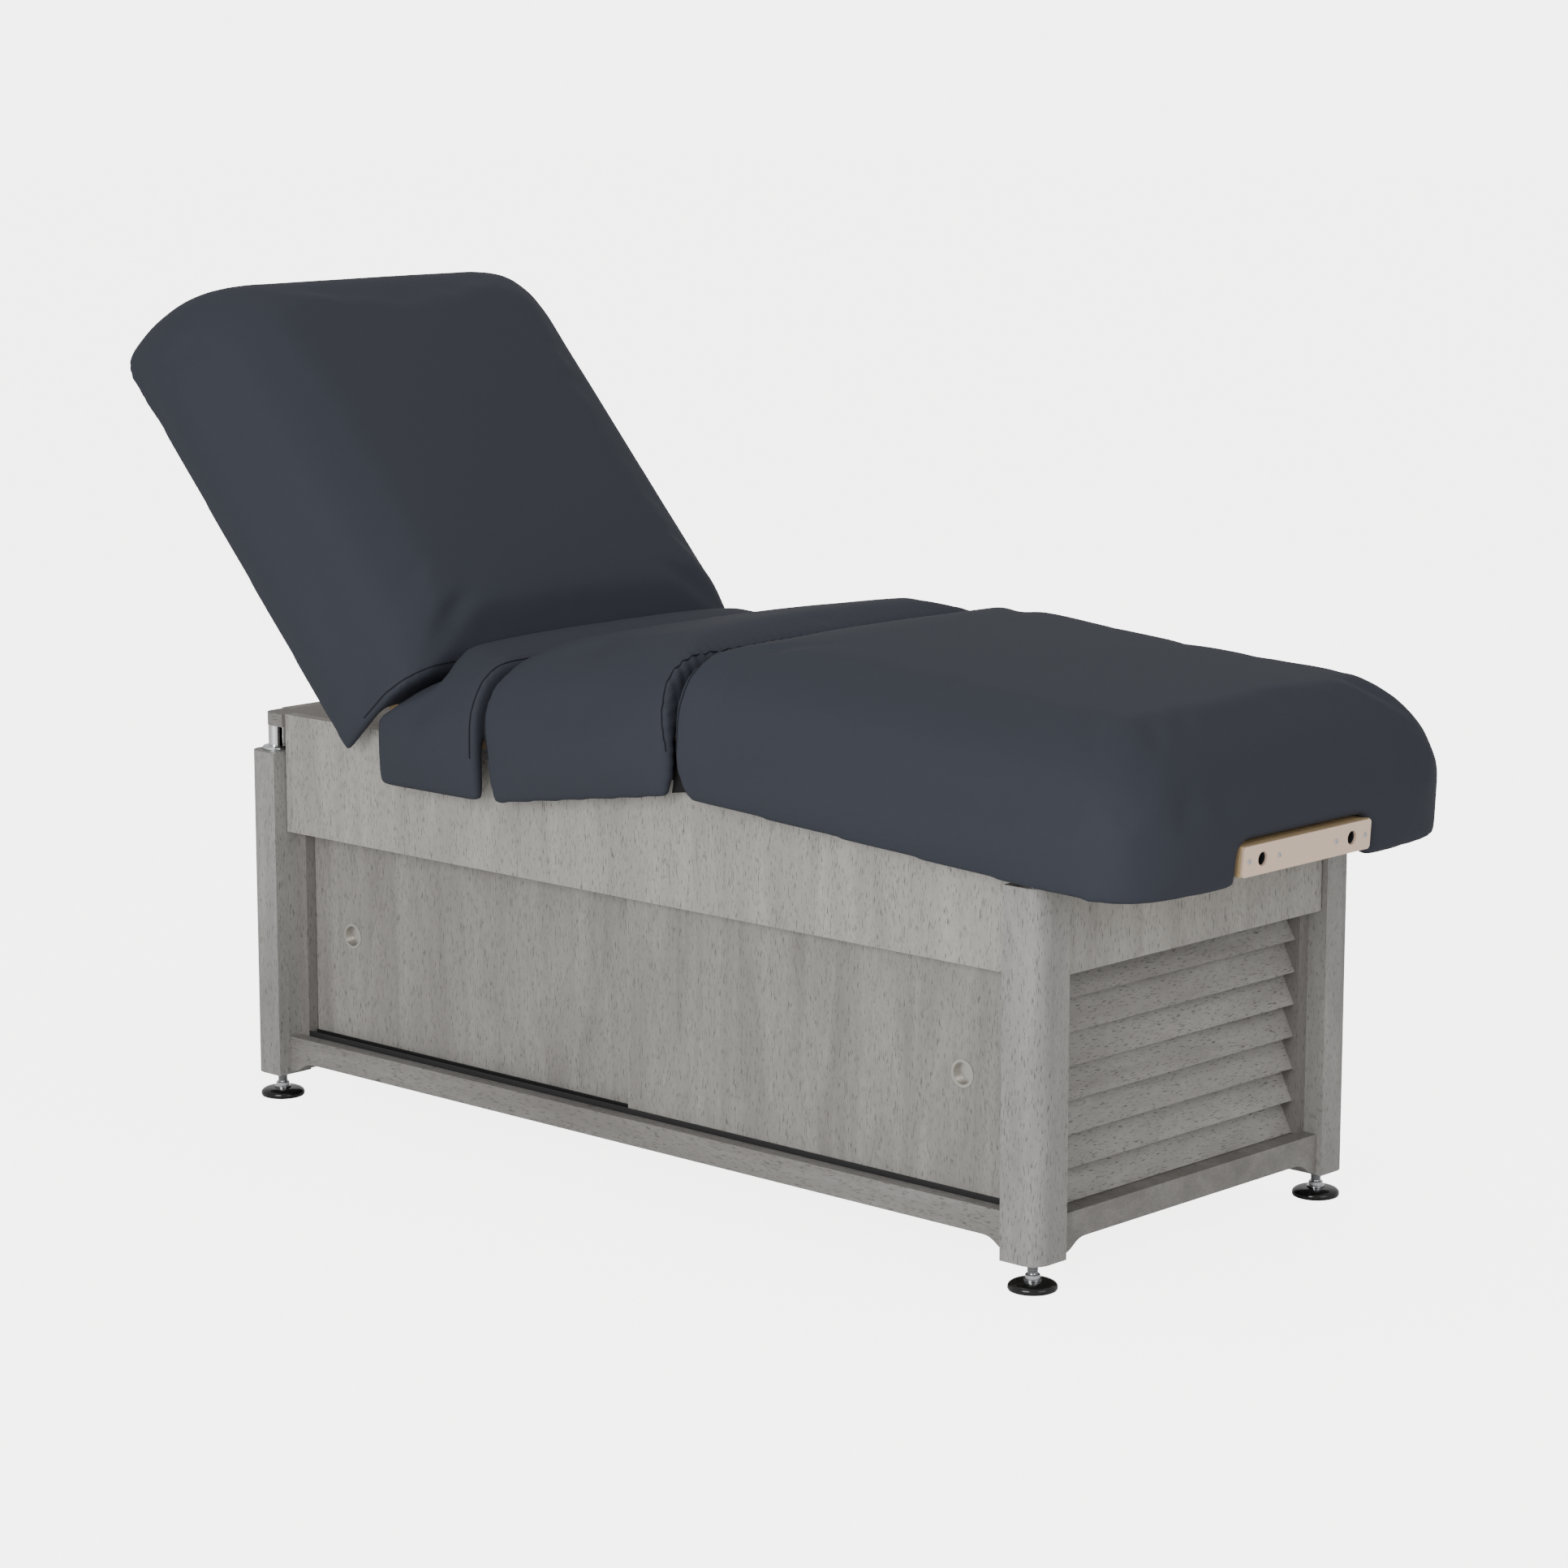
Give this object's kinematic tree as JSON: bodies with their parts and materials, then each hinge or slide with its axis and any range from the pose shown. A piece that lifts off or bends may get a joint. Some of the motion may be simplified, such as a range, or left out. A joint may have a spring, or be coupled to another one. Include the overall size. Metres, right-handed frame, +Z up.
{
  "type": "powered treatment table",
  "caption": "Powered treatment table: a folding padded top in hinged sections on a lifting deck, over a wood-grained cabinet base with sliding doors, louvred ends and screw-levelling feet.",
  "frame": {"origin": "on the floor, midway between the four levelling feet", "axes": "+X along the table towards the foot end, +Y across towards the back side, +Z up; the front long side faces -Y"},
  "size_m": [1.8524, 0.7, 1.1431],
  "materials": {
    "upholstery": "satin",
    "birch_plywood": "matte",
    "grey_oak_laminate": "satin",
    "grey_oak_carcass": "satin",
    "chrome_trim": "polished",
    "black_housing": "satin",
    "black_plastic": "satin",
    "foot_black": "gloss",
    "champagne_plate": "satin",
    "zinc_steel": "satin"
  },
  "bodies": {
    "base": {"bottom_rails": "grey_oak_carcass", "cabinet_floor": "grey_oak_carcass", "cabinet_top": "grey_oak_carcass", "control_box": "black_housing", "corner_post_foot_back": "grey_oak_laminate", "corner_post_foot_front": "grey_oak_laminate", "corner_post_head_back": "grey_oak_laminate", "corner_post_head_front": "grey_oak_laminate", "door_stiles": "grey_oak_carcass", "door_tracks": "black_plastic", "lift_columns": "zinc_steel", "lift_glands": "chrome_trim", "louvre_slats": "grey_oak_laminate", "louvre_stiles": "grey_oak_carcass", "oil_lines": "zinc_steel", "oil_reservoir": "zinc_steel", "power_inlet": "black_plastic", "pump_manifold": "zinc_steel", "pump_motor": "black_housing", "top_rails": "grey_oak_carcass"},
    "lift_frame": {"deck": "grey_oak_laminate", "aprons": "grey_oak_laminate", "lift_rods": "chrome_trim", "seat_board": "birch_plywood", "seat_pad": "upholstery", "seat_hinge_knuckles": "zinc_steel", "drive_tubes": "zinc_steel", "drive_motors": "black_housing", "deck_brackets": "zinc_steel"},
    "backrest": {"back_board": "birch_plywood", "back_pad": "upholstery", "back_hinge_knuckles": "zinc_steel", "back_lever": "zinc_steel"},
    "back_drive": {"back_drive_rod": "chrome_trim"},
    "thigh_section": {"thigh_board": "birch_plywood", "thigh_pad": "upholstery", "thigh_hinge_knuckles": "zinc_steel", "knee_lever": "zinc_steel"},
    "knee_drive": {"knee_drive_rod": "chrome_trim"},
    "leg_section": {"leg_board": "birch_plywood", "leg_pad": "upholstery", "leg_hinge_knuckles": "zinc_steel", "leg_ears": "zinc_steel", "leg_end_rail": "birch_plywood", "cradle_sockets": "zinc_steel", "outlet_plate": "champagne_plate", "outlet_screws": "chrome_trim"},
    "foot_links": {"foot_links": "zinc_steel"},
    "door_front_head": {"door_front_head": "grey_oak_laminate", "pull_front_head": "chrome_trim"},
    "door_front_foot": {"door_front_foot": "grey_oak_laminate", "pull_front_foot": "chrome_trim"},
    "door_back_head": {"door_back_head": "grey_oak_laminate", "pull_back_head": "chrome_trim"},
    "door_back_foot": {"door_back_foot": "grey_oak_laminate", "pull_back_foot": "chrome_trim"},
    "levelling_foot_head_front": {"levelling_foot_head_front": "foot_black"},
    "levelling_foot_foot_front": {"levelling_foot_foot_front": "foot_black"},
    "levelling_foot_head_back": {"levelling_foot_head_back": "foot_black"},
    "levelling_foot_foot_back": {"levelling_foot_foot_back": "foot_black"}
  },
  "joints": [
    {"name": "lift", "type": "slide", "parent": "base", "child": "lift_frame", "axis": [0, 0, 1], "range_m": [-0.02, 0.25]},
    {"name": "backrest_tilt", "type": "hinge", "parent": "lift_frame", "child": "backrest", "pos_m": [-0.414, 0, 0.572], "axis": [0, 1, 0], "range_deg": [-47.5, 12.5]},
    {"name": "back_drive_travel", "type": "slide", "parent": "lift_frame", "child": "back_drive", "axis": [-1, 0, 0], "range_m": [-0.088, 0.024]},
    {"name": "thigh_tilt", "type": "hinge", "parent": "lift_frame", "child": "thigh_section", "pos_m": [-0.216, 0, 0.572], "axis": [0, -1, 0], "range_deg": [-8.7, 7.3]},
    {"name": "knee_drive_travel", "type": "slide", "parent": "lift_frame", "child": "knee_drive", "axis": [1, 0, 0], "range_m": [-0.0172, 0.0145]},
    {"name": "leg_tilt", "type": "hinge", "parent": "thigh_section", "child": "leg_section", "pos_m": [0.1359, 0, 0.62585], "axis": [0, 1, 0], "range_deg": [-12.6, 10.6]},
    {"name": "foot_link_tilt", "type": "hinge", "parent": "lift_frame", "child": "foot_links", "pos_m": [0.5984, 0, 0.548], "axis": [0, -1, 0], "range_deg": [-32.8, 27.5]},
    {"name": "door_front_head_slide", "type": "slide", "parent": "base", "child": "door_front_head", "axis": [1, 0, 0], "range_m": [0, 0.64]},
    {"name": "door_front_foot_slide", "type": "slide", "parent": "base", "child": "door_front_foot", "axis": [-1, 0, 0], "range_m": [0, 0.64]},
    {"name": "door_back_head_slide", "type": "slide", "parent": "base", "child": "door_back_head", "axis": [1, 0, 0], "range_m": [0, 0.64]},
    {"name": "door_back_foot_slide", "type": "slide", "parent": "base", "child": "door_back_foot", "axis": [-1, 0, 0], "range_m": [0, 0.64]},
    {"name": "levelling_head_front", "type": "hinge", "parent": "base", "child": "levelling_foot_head_front", "pos_m": [-0.7, -0.29, 0.04], "axis": [0, 0, 1], "continuous": true},
    {"name": "levelling_foot_front", "type": "hinge", "parent": "base", "child": "levelling_foot_foot_front", "pos_m": [0.7, -0.29, 0.04], "axis": [0, 0, 1], "continuous": true},
    {"name": "levelling_head_back", "type": "hinge", "parent": "base", "child": "levelling_foot_head_back", "pos_m": [-0.7, 0.29, 0.04], "axis": [0, 0, 1], "continuous": true},
    {"name": "levelling_foot_back", "type": "hinge", "parent": "base", "child": "levelling_foot_foot_back", "pos_m": [0.7, 0.29, 0.04], "axis": [0, 0, 1], "continuous": true}
  ],
  "couplings": [
    {"joint": "back_drive_travel", "follows": "backrest_tilt", "m_per_rad": 0.1042},
    {"joint": "knee_drive_travel", "follows": "thigh_tilt", "m_per_rad": 0.1096},
    {"joint": "leg_tilt", "follows": "thigh_tilt", "ratio": 1.44},
    {"joint": "foot_link_tilt", "follows": "thigh_tilt", "ratio": 3.76}
  ]
}
